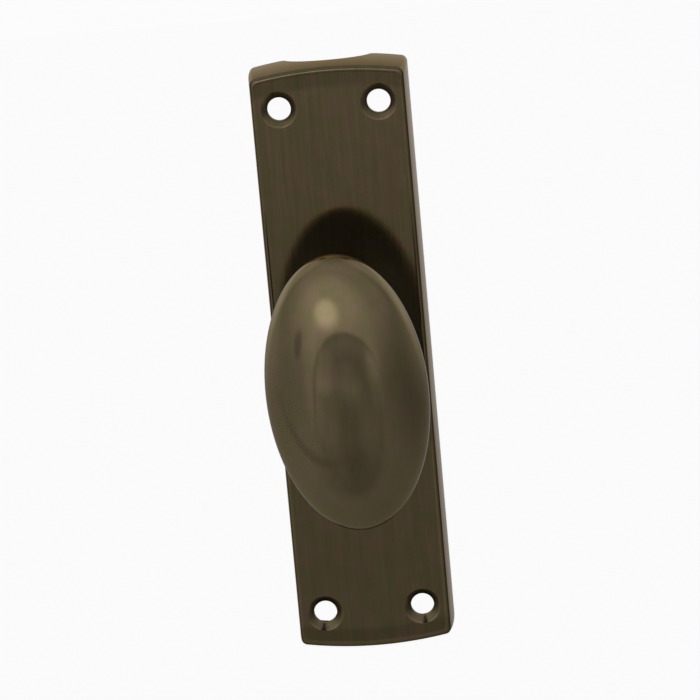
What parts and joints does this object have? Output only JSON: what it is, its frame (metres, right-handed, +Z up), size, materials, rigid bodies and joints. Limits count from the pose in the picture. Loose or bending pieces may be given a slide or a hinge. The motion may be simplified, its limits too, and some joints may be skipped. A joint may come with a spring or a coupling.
{
  "type": "cremone bolt",
  "caption": "Surface-mounted cremone bolt box with an oval knob; turning the knob drives an upper and a lower rack in opposite directions to work a window's two rods.",
  "frame": {"origin": "centre of the back face, on the wall plane, on the spindle's axis", "axes": "+Z up along the case's length, +Y into the wall that the case is screwed to, the front and the knob look along -Y"},
  "size_m": [0.034, 0.0617, 0.1274],
  "materials": {
    "case_bronze": "brushed and darkened to an antique bronze, semi-gloss",
    "knob_bronze": "polished and darkened to an antique bronze, semi-gloss",
    "steel": "plain machined steel, lightly oiled",
    "spring_steel": "blued spring steel",
    "plate_steel": "rolled strip, zinc plated",
    "bearing_brass": "turned brass"
  },
  "bodies": {
    "housing": {"case": "case_bronze", "back_plate": "plate_steel", "plate_screw_1": "steel", "plate_screw_2": "steel", "plate_screw_3": "steel", "plate_screw_4": "steel", "front_bush": "bearing_brass", "thrust_washer": "bearing_brass", "neck_washer": "case_bronze", "left_brake_spring": "spring_steel", "right_brake_spring": "spring_steel"},
    "knob_group": {"knob": "knob_bronze", "knob_pin": "steel", "spindle": "steel", "wave_washer": "spring_steel", "pinion": "steel"},
    "upper_drive": {"upper_rack": "steel", "upper_rod_peg": "steel"},
    "lower_drive": {"lower_rack": "steel", "lower_rod_peg": "steel"}
  },
  "joints": [
    {"name": "knob_turn", "type": "hinge", "parent": "housing", "child": "knob_group", "pos_m": [0, 0, 0], "axis": [0, 1, 0], "range_deg": [0, 180]},
    {"name": "upper_slide", "type": "slide", "parent": "housing", "child": "upper_drive", "axis": [0, 0, 1], "range_m": [0, 0.0236]},
    {"name": "lower_slide", "type": "slide", "parent": "housing", "child": "lower_drive", "axis": [0, 0, -1], "range_m": [0, 0.0236]}
  ],
  "couplings": [
    {"joint": "upper_slide", "follows": "knob_turn", "m_per_rad": 0.0075},
    {"joint": "lower_slide", "follows": "knob_turn", "m_per_rad": 0.0075}
  ]
}
